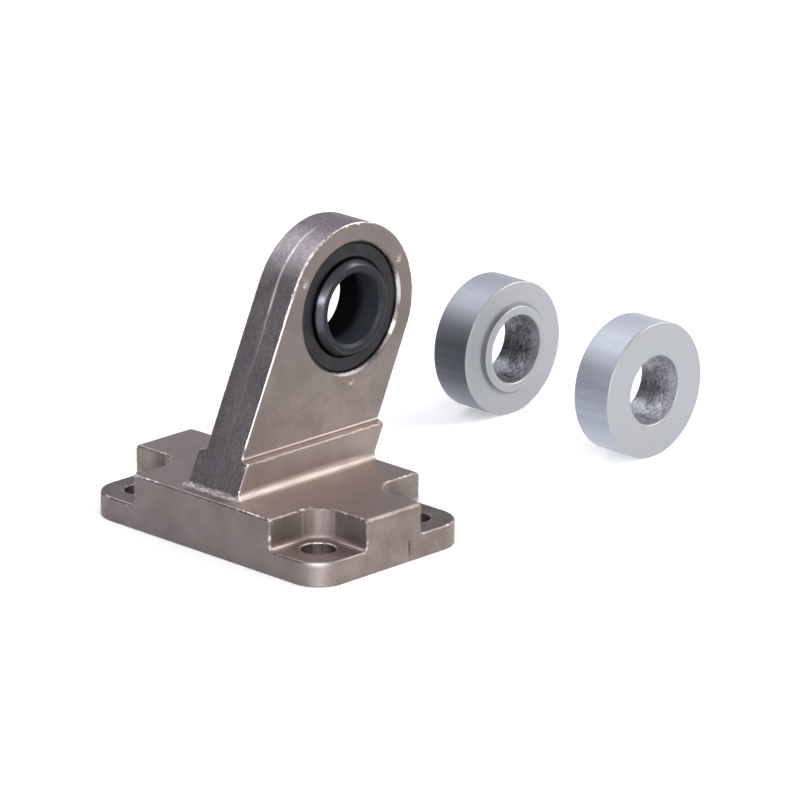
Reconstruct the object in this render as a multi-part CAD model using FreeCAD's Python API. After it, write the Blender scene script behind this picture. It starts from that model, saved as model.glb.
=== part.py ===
import FreeCAD, Part
from FreeCAD import Vector
import os
from math import radians, sin, cos, hypot

os.makedirs("parts", exist_ok=True)

# Sizes in millimetres. X runs across the arm, Y along the pin, Z up from the mounting face.

# Base plate with its four ears
base_width = 35.0
base_length = 54.0
base_corner_radius = 5.5
hole_spacing_x = 22.0
hole_spacing_y = 41.0
hole_diameter = 5.8
hole_chamfer = 0.2
ear_thickness = 4.3
base_bottom_radius = 0.3

# Raised cross between the ears, its pockets cleared for the screw heads
block_height = 9.6
screw_head_diameter = 8.5
screw_head_clearance = 0.35
pocket_corner_radius = 4.1
pocket_cove_radius = 0.6
block_end_radius = 1.0
block_right_radius = 1.0
block_left_radius = 0.4
block_rim_radius = 0.5

# Leaning arm: a strap that is tangent to the eye on both sides
pin_height = 36.0
pin_offset = 13.0
eye_radius = 14.5
eye_thickness = 8.4
arm_lean = 65.4
arm_edge_radius = 0.3

# Thicker foot of the arm, below a sloping ledge
root_thickness = 11.6
root_cove_radius = 1.4
ledge_height = 15.6
ledge_fall = 0.4
ledge_outer_radius = 0.5
ledge_inner_radius = 0.3

# Punch marks that hold the bearing, on both faces of the eye
punch_seat_distance = 1.6
punch_angles = (30.0, 150.0, 270.0)
punch_diameter = 1.3
punch_depth = 0.5

# Spherical plain bearing, from the pin outward to its seat in the eye
pin_diameter = 12.0
pin_bore_chamfer = 0.5
ball_width = 10.0
ball_section = 3.0
ball_clearance = 0.04
race_edge_chamfer = 0.3
outer_ring_wall = 2.0
outer_ring_width = 7.0
outer_ring_chamfer = 0.35
seat_chamfer = 0.5

# Two equal spacer rings that fill the fork beside the ball
spacer_diameter = 23.8
spacer_body_width = 7.8
spacer_boss_diameter = 15.4
spacer_boss_width = 0.8
spacer_bore_clearance = 0.1
spacer_rim_radius = 0.3
spacer_boss_radius = 0.15
spacer_bore_chamfer = 0.2

# The loose rings stand on their rims beside the foot
spacer_stand_x = 72.0
back_spacer_near_y = 13.3
front_spacer_near_y = -18.8

half_width = base_width / 2
half_length = base_length / 2
head_clear_radius = screw_head_diameter / 2 + screw_head_clearance
cross_half_x = hole_spacing_x / 2 - head_clear_radius
cross_half_y = hole_spacing_y / 2 - head_clear_radius
race_diameter = pin_diameter + 2 * ball_section
seat_diameter = race_diameter + 2 * outer_ring_wall
punch_circle_radius = seat_diameter / 2 + punch_seat_distance
pin_axis = Vector(0, 1, 0)
eye_centre = Vector(pin_offset, 0, pin_height)
tolerance = 0.01
rim_tolerance = 0.05


# Picking edges by sampled points

def near(a, b):
    return abs(a - b) < tolerance


def samples(edge):
    start, end = edge.ParameterRange
    return [edge.valueAt(start + (end - start) * k / 4) for k in range(5)]


def pick(shape, test):
    return [edge for edge in shape.Edges if test(samples(edge))]


def at(points, axis, value):
    return all(near(getattr(p, axis), value) for p in points)


def at_either(points, axis, value):
    return all(near(abs(getattr(p, axis)), value) for p in points)


def plate_inset(p):
    # How far a point lies inside the rounded outline of the base
    over_x = abs(p.x) - half_width + base_corner_radius
    over_y = abs(p.y) - half_length + base_corner_radius
    inner = min(max(over_x, over_y), 0)
    return base_corner_radius - inner - hypot(max(over_x, 0), max(over_y, 0))


def strap_inset(p):
    # How far a point lies inside the outline of the arm, seen along the pin
    lean = radians(arm_lean)
    dx = p.x - pin_offset
    dz = p.z - pin_height
    rise = dx * cos(lean) + dz * sin(lean)
    side = dz * cos(lean) - dx * sin(lean)
    return eye_radius - hypot(max(rise, 0), side)


def box(x0, x1, y0, y1, z0, z1):
    return Part.makeBox(x1 - x0, y1 - y0, z1 - z0, Vector(x0, y0, z0))


def rod(diameter, width, centre):
    # Cylinder along the pin direction, centred on a point
    return Part.makeCylinder(diameter / 2, width, centre - pin_axis * (width / 2), pin_axis)


def drill(diameter, depth, chamfer, start, direction):
    # Cutter for a through hole that is chamfered at both mouths
    radius = diameter / 2
    end = start + direction * depth
    hole = Part.makeCylinder(radius, depth, start, direction)
    first = Part.makeCone(radius + chamfer, radius, chamfer, start, direction)
    last = Part.makeCone(radius + chamfer, radius, chamfer, end, direction * -1)
    return hole.fuse([first, last])


def save(shape, node):
    shape.Solids[0].exportStep("parts/" + node + ".step")


# Cast foot

def ear_plate():
    plate = box(-half_width, half_width, -half_length, half_length, 0, ear_thickness)
    corners = pick(plate, lambda e: at_either(e, "x", half_width) and at_either(e, "y", half_length))
    plate = plate.makeFillet(base_corner_radius, corners)
    return plate.makeFillet(base_bottom_radius, pick(plate, lambda e: at(e, "z", 0)))


def cross_block():
    low = base_bottom_radius
    bar_x = box(-half_width, half_width, -cross_half_y, cross_half_y, low, block_height)
    bar_y = box(-cross_half_x, cross_half_x, -half_length, half_length, low, block_height)
    cross = bar_x.fuse(bar_y).removeSplitter()
    inner = pick(cross, lambda e: at_either(e, "x", cross_half_x) and at_either(e, "y", cross_half_y))
    return cross.makeFillet(pocket_corner_radius, inner)


def base():
    body = ear_plate().fuse(cross_block()).removeSplitter()

    def on_rim(points):
        return all(abs(plate_inset(p)) < rim_tolerance for p in points)

    def top(points):
        return at(points, "z", block_height)

    # The cove comes first, and the last fillet runs on round the ears and the pockets
    wall_foot = pick(body, lambda e: at(e, "z", ear_thickness) and not on_rim(e))
    body = body.makeFillet(pocket_cove_radius, wall_foot)
    body = body.makeFillet(block_end_radius, pick(body, lambda e: top(e) and at_either(e, "y", half_length)))
    body = body.makeFillet(block_right_radius, pick(body, lambda e: top(e) and at(e, "x", half_width)))
    body = body.makeFillet(block_left_radius, pick(body, lambda e: top(e) and at(e, "x", -half_width)))
    ear_rim = pick(body, lambda e: at(e, "z", ear_thickness) and on_rim(e))
    return body.makeFillet(block_rim_radius, ear_rim)


def strap():
    # Outline of the arm seen along the pin, run down into the cross
    reach = root_thickness
    lean = radians(arm_lean)
    along = Vector(cos(lean), 0, sin(lean))
    across = Vector(-sin(lean), 0, cos(lean))
    eye = eye_centre - pin_axis * reach
    left = eye + across * eye_radius
    right = eye - across * eye_radius
    left_foot = left - along * ((left.z - ear_thickness) / sin(lean))
    right_foot = right - along * ((right.z - ear_thickness) / sin(lean))
    crown = Part.Arc(left, eye + along * eye_radius, right).toShape()
    right_side = Part.makeLine(right, right_foot)
    bottom = Part.makeLine(right_foot, left_foot)
    left_side = Part.makeLine(left_foot, left)
    return Part.Face(Part.Wire([crown, right_side, bottom, left_side])).extrude(pin_axis * (2 * reach))


def arm_half(side):
    # Edges of half the section across the arm: cove, root, ledge and eye
    half_eye = side * eye_thickness / 2
    half_root = side * root_thickness / 2
    half_toe = half_root + side * root_cove_radius
    # The cove's middle point lies this far out from the wall and up from the cross
    bend = root_cove_radius * (1 - cos(radians(45)))
    low = Vector(0, half_toe, ear_thickness)
    toe = Vector(0, half_toe, block_height)
    middle = Vector(0, half_root + side * bend, block_height + bend)
    wall = Vector(0, half_root, block_height + root_cove_radius)
    ledge_outer = Vector(0, half_root, ledge_height - ledge_fall)
    ledge_inner = Vector(0, half_eye, ledge_height)
    top = Vector(0, half_eye, 2 * pin_height)
    cove = Part.Arc(toe, middle, wall).toShape()
    upper = Part.makePolygon([wall, ledge_outer, ledge_inner, top]).Edges
    return [Part.makeLine(low, toe), cove] + upper, low, top


def arm_bar():
    # The section run along X, longer than the arm is wide
    front, front_low, front_top = arm_half(-1)
    back, back_low, back_top = arm_half(1)
    ends = [Part.makeLine(front_top, back_top), Part.makeLine(back_low, front_low)]
    reach = pin_offset + pin_height
    bar = Part.Face(Part.Wire(Part.__sortEdges__(front + back + ends))).extrude(Vector(2 * reach, 0, 0))
    bar.translate(Vector(-reach, 0, 0))
    ledge_edge = pick(bar, lambda e: at(e, "z", ledge_height - ledge_fall))
    bar = bar.makeFillet(ledge_outer_radius, ledge_edge)
    return bar.makeFillet(ledge_inner_radius, pick(bar, lambda e: at(e, "z", ledge_height)))


def arm():
    body = arm_bar().common(strap())

    def rim(points):
        above = all(p.z > block_height - tolerance for p in points)
        faces = all(abs(p.y) > eye_thickness / 2 - tolerance for p in points)
        return above and faces and all(near(strap_inset(p), 0) for p in points)

    return body.makeFillet(arm_edge_radius, pick(body, rim))


def bearing_seat():
    start = eye_centre - pin_axis * (eye_thickness / 2)
    return drill(seat_diameter, eye_thickness, seat_chamfer, start, pin_axis)


def screw_holes():
    holes = []
    for x in (-hole_spacing_x / 2, hole_spacing_x / 2):
        for y in (-hole_spacing_y / 2, hole_spacing_y / 2):
            holes.append(drill(hole_diameter, ear_thickness, hole_chamfer, Vector(x, y, 0), Vector(0, 0, 1)))
    return holes


def punch_marks():
    marks = []
    for angle in punch_angles:
        turn = radians(angle)
        radial = Vector(cos(turn), 0, sin(turn)) * punch_circle_radius
        for side in (-1, 1):
            face = eye_centre + radial + pin_axis * (side * eye_thickness / 2)
            marks.append(Part.makeCone(punch_diameter / 2, 0, punch_depth, face, pin_axis * -side))
    return marks


def foot_bracket():
    body = base().fuse(arm()).removeSplitter()
    return body.cut([bearing_seat()] + screw_holes() + punch_marks())


# Bearing

def bearing_outer_ring():
    ring = rod(seat_diameter, outer_ring_width, eye_centre)
    ring = ring.makeChamfer(outer_ring_chamfer, pick(ring, lambda e: at_either(e, "y", outer_ring_width / 2)))
    ring = ring.cut(Part.makeSphere(race_diameter / 2, eye_centre))

    def race_edge(points):
        radius = hypot(points[0].x - pin_offset, points[0].z - pin_height)
        return at_either(points, "y", outer_ring_width / 2) and radius < race_diameter / 2

    return ring.makeChamfer(race_edge_chamfer, pick(ring, race_edge))


def bearing_ball():
    ball = Part.makeSphere(race_diameter / 2 - ball_clearance, eye_centre)
    ball = ball.common(rod(race_diameter, ball_width, eye_centre))
    ball = ball.cut(rod(pin_diameter, 2 * ball_width, eye_centre))

    def bore_edge(points):
        radius = hypot(points[0].x - pin_offset, points[0].z - pin_height)
        return at_either(points, "y", ball_width / 2) and near(radius, pin_diameter / 2)

    return ball.makeChamfer(pin_bore_chamfer, pick(ball, bore_edge))


# Spacer rings

def spacer_ring():
    # Plain face at the origin, boss face at the far end of the width
    origin = Vector(0, 0, 0)
    width = spacer_body_width + spacer_boss_width
    body = Part.makeCylinder(spacer_diameter / 2, spacer_body_width, origin, pin_axis)
    body = body.makeFillet(spacer_rim_radius, pick(body, lambda e: at(e, "y", e[0].y)))
    boss = Part.makeCylinder(spacer_boss_diameter / 2, width, origin, pin_axis)
    boss = boss.makeFillet(spacer_boss_radius, pick(boss, lambda e: at(e, "y", width)))
    bore_diameter = pin_diameter + spacer_bore_clearance
    return body.fuse(boss).removeSplitter().cut(drill(bore_diameter, width, spacer_bore_chamfer, origin, pin_axis))


def front_spacer():
    # Plain face to the front
    ring = spacer_ring()
    ring.translate(Vector(spacer_stand_x, front_spacer_near_y, spacer_diameter / 2))
    return ring


def back_spacer():
    # Boss to the front
    ring = spacer_ring()
    ring.rotate(Vector(0, 0, 0), Vector(0, 0, 1), 180)
    far_y = back_spacer_near_y + spacer_body_width + spacer_boss_width
    ring.translate(Vector(spacer_stand_x, far_y, spacer_diameter / 2))
    return ring


save(foot_bracket(), "foot_bracket")
save(bearing_outer_ring(), "bearing_outer_ring")
save(bearing_ball(), "bearing_ball")
save(front_spacer(), "spacer_ring_front")
save(back_spacer(), "spacer_ring_back")
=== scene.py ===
"""Spherical clevis foot with its bearing and two loose spacer rings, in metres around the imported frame."""

import math
from types import SimpleNamespace

import bmesh
import bpy
import numpy as np
from mathutils import Matrix, Vector, noise


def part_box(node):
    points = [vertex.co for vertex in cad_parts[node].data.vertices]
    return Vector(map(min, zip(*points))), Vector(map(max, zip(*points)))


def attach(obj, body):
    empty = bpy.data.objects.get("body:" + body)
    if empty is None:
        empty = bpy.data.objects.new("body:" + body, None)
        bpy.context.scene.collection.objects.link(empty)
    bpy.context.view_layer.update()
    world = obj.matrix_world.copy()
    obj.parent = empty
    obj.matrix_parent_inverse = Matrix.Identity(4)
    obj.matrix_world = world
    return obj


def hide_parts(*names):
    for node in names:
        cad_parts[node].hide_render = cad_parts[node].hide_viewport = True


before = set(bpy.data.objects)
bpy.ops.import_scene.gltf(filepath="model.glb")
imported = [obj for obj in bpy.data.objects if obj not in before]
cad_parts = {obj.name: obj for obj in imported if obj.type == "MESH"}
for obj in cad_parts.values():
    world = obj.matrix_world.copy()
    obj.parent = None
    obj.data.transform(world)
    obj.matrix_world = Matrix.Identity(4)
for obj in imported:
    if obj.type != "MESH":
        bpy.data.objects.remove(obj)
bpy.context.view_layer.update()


# Foot bracket
# One investment casting in steel, blasted: base plate, cross, leaning arm and eye. Its edges are
# rubbed bright and chipped, a parting line runs up the arm's rim, and a rough fillet of flash
# lies along the foot of the rim. Light and shade are also painted into its colour: darker long
# sides, ear and upper arm, lighter tops and arm roots, and painted highlights in the coves and
# pocket corners, on the crown, the ear's corner, the parting line and the arm's front left edge.

MM = 0.001
cell = 0.72 * MM
edge_cell = 0.4 * MM
merge_distance = 0.002 * MM
flat_angle = 0.002
sharp_angle = math.radians(38)

# The clean form, in millimetres
plate_half_x, plate_half_y = 17.5, 27.0
block_top, ear_top = 9.6, 4.3
ear_corner_x, ear_corner_y, ear_corner_radius = -12.0, -21.5, 5.5
screw_places = [(x, y) for x in (-11.0, 11.0) for y in (-20.5, 20.5)]
screw_radius, screw_mouth = 2.9, 3.15
pocket_x, pocket_y, pocket_radius = 10.5, 20.0, 4.1
pin_x, pin_z = 13.0, 36.0
pin_centre = (pin_x, 0.0, pin_z)
eye_radius, eye_half = 14.5, 4.2
seat_radius, seat_mouth = 11.0, 11.55
arm_lean = math.radians(65.4)

# What casting and wear add, in millimetres, and where a highlight is painted. A run is a length
# along the rim from the place where the arm's left flank meets the eye: below 0 on the flank, above
# 0 over the crown. The painted shine, a painted highlight on the crown, has its middle and half width
# along the run, then along the pin's axis.
skin_wave, skin_wave_size = 0.035, 4.5
skin_dimple, skin_dimple_size = 0.010, 1.3
chip_depth, chip_size, chip_detail = 0.07, 1.1, 0.5
ridge_height, ridge_half, ridge_sway = 0.14, 0.2, 0.22
ridge_low, ridge_top = -22.0, 13.0
ledge_run, crown_run = -28.9, 8.0
rim_cuts = (-0.45, -0.3, -0.15, 0.0, 0.15, 0.3, 0.45)
flash_radius, flash_x, flash_reach = 1.25, -15.03, 6.9
flash_cuts_x, flash_cuts_z = (-15.85, -15.65, -15.45, -15.25, -15.1), (9.75, 9.9, 10.05, 10.2, 10.35)
flash_left, flash_right, flash_low, flash_high = -15.95, -14.2, 9.5, 11.0
flash_edge = 0.3 * MM
scar_x, scar_half, scar_low, scar_high, scar_depth = 3.6, 0.2, 1.2, 3.4, 0.3
painted_shine_run, painted_shine_y = (9.5, 3.4), (1.9, 2.3)


def merged_copy(node):
    """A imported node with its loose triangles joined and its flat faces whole."""
    bm = bmesh.new()
    bm.from_mesh(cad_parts[node].data)
    bmesh.ops.remove_doubles(bm, verts=bm.verts, dist=merge_distance)
    bmesh.ops.dissolve_limit(bm, angle_limit=flat_angle, verts=bm.verts, edges=bm.edges)
    return bm


def cut_at(bm, axis, place):
    """Adds a line of vertices where a plane across one axis meets the skin."""
    point, normal = [0, 0, 0], [0, 0, 0]
    point[axis] = place
    normal[axis] = 1
    everything = bm.verts[:] + bm.edges[:] + bm.faces[:]
    bmesh.ops.bisect_plane(bm, geom=everything, dist=1e-7, plane_co=point, plane_no=normal)


def cut_in_cells(bm, node, size):
    low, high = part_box(node)
    for axis in range(3):
        count = int((high[axis] - low[axis]) / size)
        for k in range(count):
            cut_at(bm, axis, low[axis] + size * (k + 0.53))


def finish_bm(bm, name):
    mesh = bpy.data.meshes.new(name)
    bm.to_mesh(mesh)
    bm.free()
    mesh.polygons.foreach_set("use_smooth", [True] * len(mesh.polygons))
    return mesh


def places(mesh, what="co"):
    flat = np.zeros(len(mesh.vertices) * 3)
    mesh.vertices.foreach_get(what, flat)
    return flat.reshape(-1, 3)


def edge_pairs(mesh):
    pairs = np.zeros(len(mesh.edges) * 2, int)
    mesh.edges.foreach_get("vertices", pairs)
    return pairs.reshape(-1, 2).T


def bend(mesh):
    """The sharpest outward and inward bend at each vertex, both above 0 and in 1/mm."""
    p, n = places(mesh) / MM, places(mesh, "normal")
    a, b = edge_pairs(mesh)
    along = p[b] - p[a]
    length = np.linalg.norm(along, axis=1)
    turned = ((n[b] - n[a]) * along).sum(1) / np.maximum(length, 0.05) ** 2
    out, hollow = np.zeros(len(p)), np.zeros(len(p))
    for end in (a, b):
        np.maximum.at(out, end, turned)
        np.maximum.at(hollow, end, -turned)
    return out, hollow


def spread(mesh, values, share):
    """Values that reach their neighbours, weaker by a share."""
    a, b = edge_pairs(mesh)
    wide = values.copy()
    np.maximum.at(wide, a, values[b] * share)
    np.maximum.at(wide, b, values[a] * share)
    return wide


def store(mesh, name, values):
    layer = mesh.attributes.new(name, "FLOAT", "POINT")
    layer.data.foreach_set("value", np.asarray(values, np.float32))


def ramp(values, low, high):
    """0 at low, 1 at high, smooth between them."""
    t = np.clip((values - low) / (high - low), 0, 1)
    return t * t * (3 - 2 * t)


def bell(values, middle, half):
    """1 at the middle, a third of that at a distance of half, and smooth."""
    return np.exp(-(((values - middle) / half) ** 2))


def rough(points, size, seed=0.0):
    """Smooth noise from -1 to 1 at points in millimetres, with bumps about size across."""
    shift = Vector((seed, seed * 1.7, seed * 0.6))
    return np.array([noise.noise(Vector(p) / size + shift) for p in points])


def split_edges(bm, mesh, size):
    """Shorter cells along the rounded edges, where the chips are."""
    out, _ = bend(mesh)
    long_ones = [
        e for e in bm.edges
        if min(out[e.verts[0].index], out[e.verts[1].index]) > 0.5 and e.calc_length() > size
    ]
    bmesh.ops.subdivide_edges(bm, edges=long_ones, cuts=1, use_grid_fill=True)


def split_flash(bm):
    """Finer edges where the flash will be, so that its grit has something to move."""
    def near_flash(v):
        in_x, in_z = flash_left * MM < v.co.x < flash_right * MM, flash_low * MM < v.co.z < flash_high * MM
        return in_x and in_z and abs(v.co.y) < (flash_reach + 0.5) * MM

    fine = [e for e in bm.edges if e.calc_length() > flash_edge and all(near_flash(v) for v in e.verts)]
    bmesh.ops.subdivide_edges(bm, edges=fine, cuts=2, use_grid_fill=True)


def onto_upright(p, x, y, radius, low, high, quarter=(0, 0)):
    """Moves the vertices near an upright round wall exactly onto it, also those inside its flat facets."""
    dx, dy = p[:, 0] - x, p[:, 1] - y
    reach = np.hypot(dx, dy)
    near = (np.abs(reach - radius) < 0.12) & (p[:, 2] > low) & (p[:, 2] < high)
    near &= (dx * quarter[0] >= 0) & (dy * quarter[1] >= 0)
    scale = np.where(near, radius / np.maximum(reach, 0.01), 1)
    p[:, 0], p[:, 1] = x + dx * scale, y + dy * scale


def round_walls(mesh):
    """Screw holes and pocket corners, between the roundings at their ends."""
    p = places(mesh) / MM
    wall_low, wall_high = ear_top + 0.55, block_top - 0.45
    for x, y in screw_places:
        onto_upright(p, x, y, screw_radius, 0.25, ear_top - 0.25)
        turn_x, turn_y = math.copysign(1, x), math.copysign(1, y)
        corner = turn_x * pocket_x, turn_y * pocket_y
        onto_upright(p, *corner, pocket_radius, wall_low, wall_high, (-turn_x, -turn_y))
    mesh.vertices.foreach_set("co", (p * MM).ravel())
    mesh.update()


def along_rim(p):
    """Run along the rim, depth inside the arm's outline, and place across the arm, above 0 to the left."""
    dx, dz = p[:, 0] - pin_x, p[:, 2] - pin_z
    rise = dx * math.cos(arm_lean) + dz * math.sin(arm_lean)
    side = dz * math.cos(arm_lean) - dx * math.sin(arm_lean)
    angle = np.arctan2(np.maximum(rise, 0), side)
    run = np.where(rise > 0, eye_radius * angle, rise)
    inset = eye_radius - np.hypot(np.maximum(rise, 0), side)
    return run, inset, side


def measured(mesh):
    """What the moves and the marks read from the clean form, one value for each vertex."""
    p, n = places(mesh) / MM, places(mesh, "normal")
    x, y, z = p.T
    out, hollow = bend(mesh)
    sharp = ramp(out, 0.5, 1.6)
    run, inset, side = along_rim(p)
    pin_reach = np.hypot(x - pin_x, z - pin_z)
    seat = (pin_reach < seat_mouth) & (np.abs(y) < eye_half + 0.01)
    drilled = np.zeros(len(p), bool)
    for hole_x, hole_y in screw_places:
        drilled |= (np.hypot(x - hole_x, y - hole_y) < screw_mouth) & (z < ear_top + 0.01)
    free = (~seat & ~drilled) * ramp(z, 0.02, 0.5)
    return SimpleNamespace(
        p=p, n=n, x=x, y=y, z=z, hollow=hollow, sharp=sharp, edge=spread(mesh, sharp, 0.35),
        run=run, inset=inset, side=side, pin_reach=pin_reach, drilled=drilled, free=free,
        whole=ramp(pin_reach, 11.6, 12.2),
    )


def skin_move(m):
    """Blasted skin and chipped edges, always inside the clean form."""
    flat = ramp(m.pin_reach, 13.2, 14.2)
    outer = (np.abs(m.y) > eye_half + 0.4) | (np.abs(m.inset) < 0.35) | (np.abs(m.x) > plate_half_x - 0.3)
    waves = (rough(m.p, skin_wave_size) - outer) * skin_wave * flat
    dimples = (rough(m.p, skin_dimple_size, 7.0) - outer) * skin_dimple * flat
    broken = rough(m.p, chip_size, 3.0) + 0.5 * rough(m.p, chip_detail, 5.0) - 0.02
    chips = -np.maximum(broken, 0) * chip_depth * m.edge * m.whole
    chips[(m.x > 1 - plate_half_x) & (m.z < block_top + 0.5)] *= 0.5
    chips[(m.side > 0) & (m.run > 4)] *= 0.2
    return (waves + dimples + chips) * m.free


def parting_line(m):
    """The ridge in the middle of the rim: its height, and its painted highlight over metal rubbed bright."""
    along = np.stack([m.run, 0 * m.run, 0 * m.run], 1)
    on_rim = (np.abs(m.inset) < 0.06) & (m.side > 0) & (m.z > block_top + 1)
    across = bell(m.y, ridge_sway * rough(along, 5.0, 2.0), ridge_half)
    before_end = 1 - ramp(m.run, ridge_top - 2, ridge_top + 1)
    height = ridge_height * (0.65 + 0.5 * rough(along, 2.2, 9.0))
    height = height * ramp(m.run, ridge_low, ridge_low + 16) * (1 - 0.6 * ramp(m.run, 3, 6)) * before_end
    # Painted highlight: faint low on the flank, brightest where the crown begins, half as bright over the crown.
    bright = (0.08 + 0.92 * ramp(m.run, -14, 2)) * (1 - 0.5 * ramp(m.run, 5, 8)) * before_end
    return on_rim * height * across, on_rim * bright * across


def scar_mark(m):
    """The upright notch in the end of the cross."""
    scar = bell(m.x, scar_x, scar_half) * (m.y < 0.5 - plate_half_y)
    return scar * ramp(m.z, scar_low - 0.3, scar_low + 0.2) * (1 - ramp(m.z, scar_high - 0.2, scar_high + 0.3))


def pull_to_flash(m, moved):
    """Pulls the foot of the rim out to a lumpy fillet, and gives each vertex's share in it."""
    reach = flash_radius * math.tan(arm_lean / 2)
    centre_x, centre_z = flash_x - reach, block_top + flash_radius
    dx, dz = moved[:, 0] - centre_x, moved[:, 2] - centre_z
    far = np.hypot(dx, dz)
    flank_run = (m.x - flash_x) * math.cos(arm_lean) + (m.z - block_top) * math.sin(arm_lean)
    near_top = (np.abs(m.z - block_top) < 0.1) & (m.x > centre_x) & (m.x < flash_x + 0.01)
    near_flank = (np.abs(m.inset) < 0.1) & (m.side > 0) & (flank_run > -0.01) & (flank_run < reach)
    inside = (near_top | near_flank) & (far > flash_radius)
    share = inside * (1 - ramp(np.abs(m.y), flash_reach - 0.6, flash_reach + 0.3))
    lumps = np.maximum(0.6 * rough(m.p, 0.9, 4.0) + rough(m.p, 0.35, 8.0), -0.5)
    pull = share * (flash_radius * (1 - 0.07 * lumps) / np.maximum(far, 0.01) - 1)
    moved[:, 0] += dx * pull
    moved[:, 2] += dz * pull
    return share


def mark_edges(mesh, m):
    """How far each edge is rubbed bright, most of all the arm's front left edge, which also carries a painted
    highlight line.
    """
    run = m.run
    worn = np.full(len(run), 0.68)
    worn[(np.abs(m.z - block_top) < 0.15) & (np.abs(m.y) < plate_half_y - 1) & (np.abs(m.x) < plate_half_x - 1)] = 0.8
    worn[(m.x < 0.6 - plate_half_x) & (m.z > ear_top + 0.5)] = 1.0
    worn[np.hypot(m.x + plate_half_x, m.y + plate_half_y) < 9] *= 0.75
    left = (np.abs(m.inset) < 0.4) & (m.side > 0) & (np.abs(m.y) > eye_half - 0.45) & (m.z > block_top)
    front_left = left & (m.y < 0)
    worn[left] = 0.9
    # The arm's front left edge: rubbed metal, with a painted highlight set along the run.
    above_ledge = ramp(run, -29, -26)
    worn[front_left] = (1.2 + 0.4 * above_ledge - 0.55 * ramp(run, -3, 5))[front_left]

    line_half = 0.11 + 0.05 * ramp(run, -24, -17) + 0.05 * bell(run, -13, 3)
    beside = 1 - ramp(np.hypot(m.inset, np.abs(m.y) - eye_half), line_half, line_half + 0.16)
    line = np.where(run > ledge_run, beside, m.sharp)
    on_flank = np.maximum(m.edge, line * (run > ledge_run))
    on_crown = np.maximum(m.sharp, 0.9 * line * (1 - ramp(run, 17, 24)))
    rubbed = np.where(front_left, np.where(run < crown_run, on_flank, on_crown), m.sharp)
    hole_mouth = m.drilled & (m.z > ear_top - 0.25)
    store(mesh, "edge", rubbed * worn * m.free * m.whole + hole_mouth)
    store(mesh, "rubbed_and_painted_line", front_left * line * (0.35 + 0.65 * above_ledge) * (1 - ramp(run, -1, 6)))


def mark_faces(mesh, m):
    """Where light and shade are painted on the skin, lighter or darker than its plain tone, and where the skin is
    rougher or has the rim's grain.
    """
    lean_x, lean_y, up = np.abs(m.n[:, 0]), np.abs(m.n[:, 1]), m.n[:, 2]
    # Painted shade on the arm's upper face, the front right ear's top and the long sides; painted light on the arm's
    # root and on the tops.
    arm_face = (lean_y > 0.9) & (m.z > block_top)
    store(mesh, "upper_arm_painted_shade", arm_face * ramp(m.z, 13, 38))
    store(mesh, "arm_root_painted_light", arm_face * (1 - ramp(m.z, 13, 19)))
    front_ear = (np.abs(m.y) > 16) & (m.z < ear_top + 0.1) & (m.y < 0)
    store(mesh, "ear", front_ear * (up > 0.9) * (m.x > 0))
    top_share = (m.z > ear_top + 1) * (np.abs(m.y) > 5) + 0.7 * front_ear * (m.x < 0)
    store(mesh, "top_painted_light", ramp(up, 0.9, 0.99) * top_share)
    store(mesh, "long_side_painted_shade", ramp(lean_x, 0.6, 0.95) * (m.z < block_top) * (np.abs(m.x) > plate_half_x - 1.5))

    # Painted highlight where light is caught by the front left ear's round corner and its top edge
    dx, dy = m.x - ear_corner_x, m.y - ear_corner_y
    reach, turned = np.hypot(dx, dy), np.arctan2(dy, dx) + math.radians(135)
    top_edge = ramp(m.z, ear_top - 1.1, ear_top - 0.2) * ramp(reach, ear_corner_radius - 0.4, ear_corner_radius - 0.05)
    facing = bell(turned, 0, math.radians(17)) * (dx < 0) * (dy < 0)
    on_corner = 0.75 * top_edge + 0.2 * (reach > ear_corner_radius - 0.5)
    store(mesh, "ear_corner_painted_highlight", facing * on_corner * (m.z < ear_top + 0.1))

    # Painted highlight on the pockets' round inner corners, brightest a little off their middle, and a zone round them
    # that is only rougher
    in_pocket = (m.z > ear_top + 0.3) & (m.z < block_top - 0.2)
    between = ramp(0.85 * lean_x + 0.53 * lean_y, 0.84, 0.98)
    store(mesh, "corner", between * (m.hollow > 0.1) * in_pocket)
    deep_x, deep_y = np.abs(m.x) - (pocket_x - pocket_radius), np.abs(m.y) - (pocket_y - pocket_radius)
    near_corner = ramp(-np.hypot(deep_x, deep_y), -7.5, -4.0) * (deep_x > -0.1) * (deep_y > -0.1)
    store(mesh, "corner_zone", near_corner * in_pocket)

    # Painted highlight in the hollow roundings.
    store(mesh, "cove_painted_highlight", ramp(m.hollow, 0.3, 0.6) * m.free)
    store(mesh, "rim", np.clip(1 - m.inset / 0.4, 0, 1) * (m.z > block_top + 0.1) * (np.abs(m.y) < 6))
    store(mesh, "painted_shine", bell(m.run, *painted_shine_run) * bell(m.y, *painted_shine_y) * (np.abs(m.inset) < 0.4) * (m.side > 0))


def cast_shape(mesh):
    """Moves the clean form's vertices to those of the rough casting, and marks it for its material."""
    m = measured(mesh)
    ridge, ridge_painted_highlight = parting_line(m)
    scar = scar_mark(m)
    move = skin_move(m) + ridge - scar * scar_depth
    moved = m.p + m.n * move[:, None]
    flash = pull_to_flash(m, moved)
    mesh.vertices.foreach_set("co", (moved * MM).ravel())
    mesh.update()
    for name, values in (("ridge", ridge_painted_highlight), ("scar", scar), ("flash", flash)):
        store(mesh, name, values)
    mark_edges(mesh, m)
    mark_faces(mesh, m)


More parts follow.
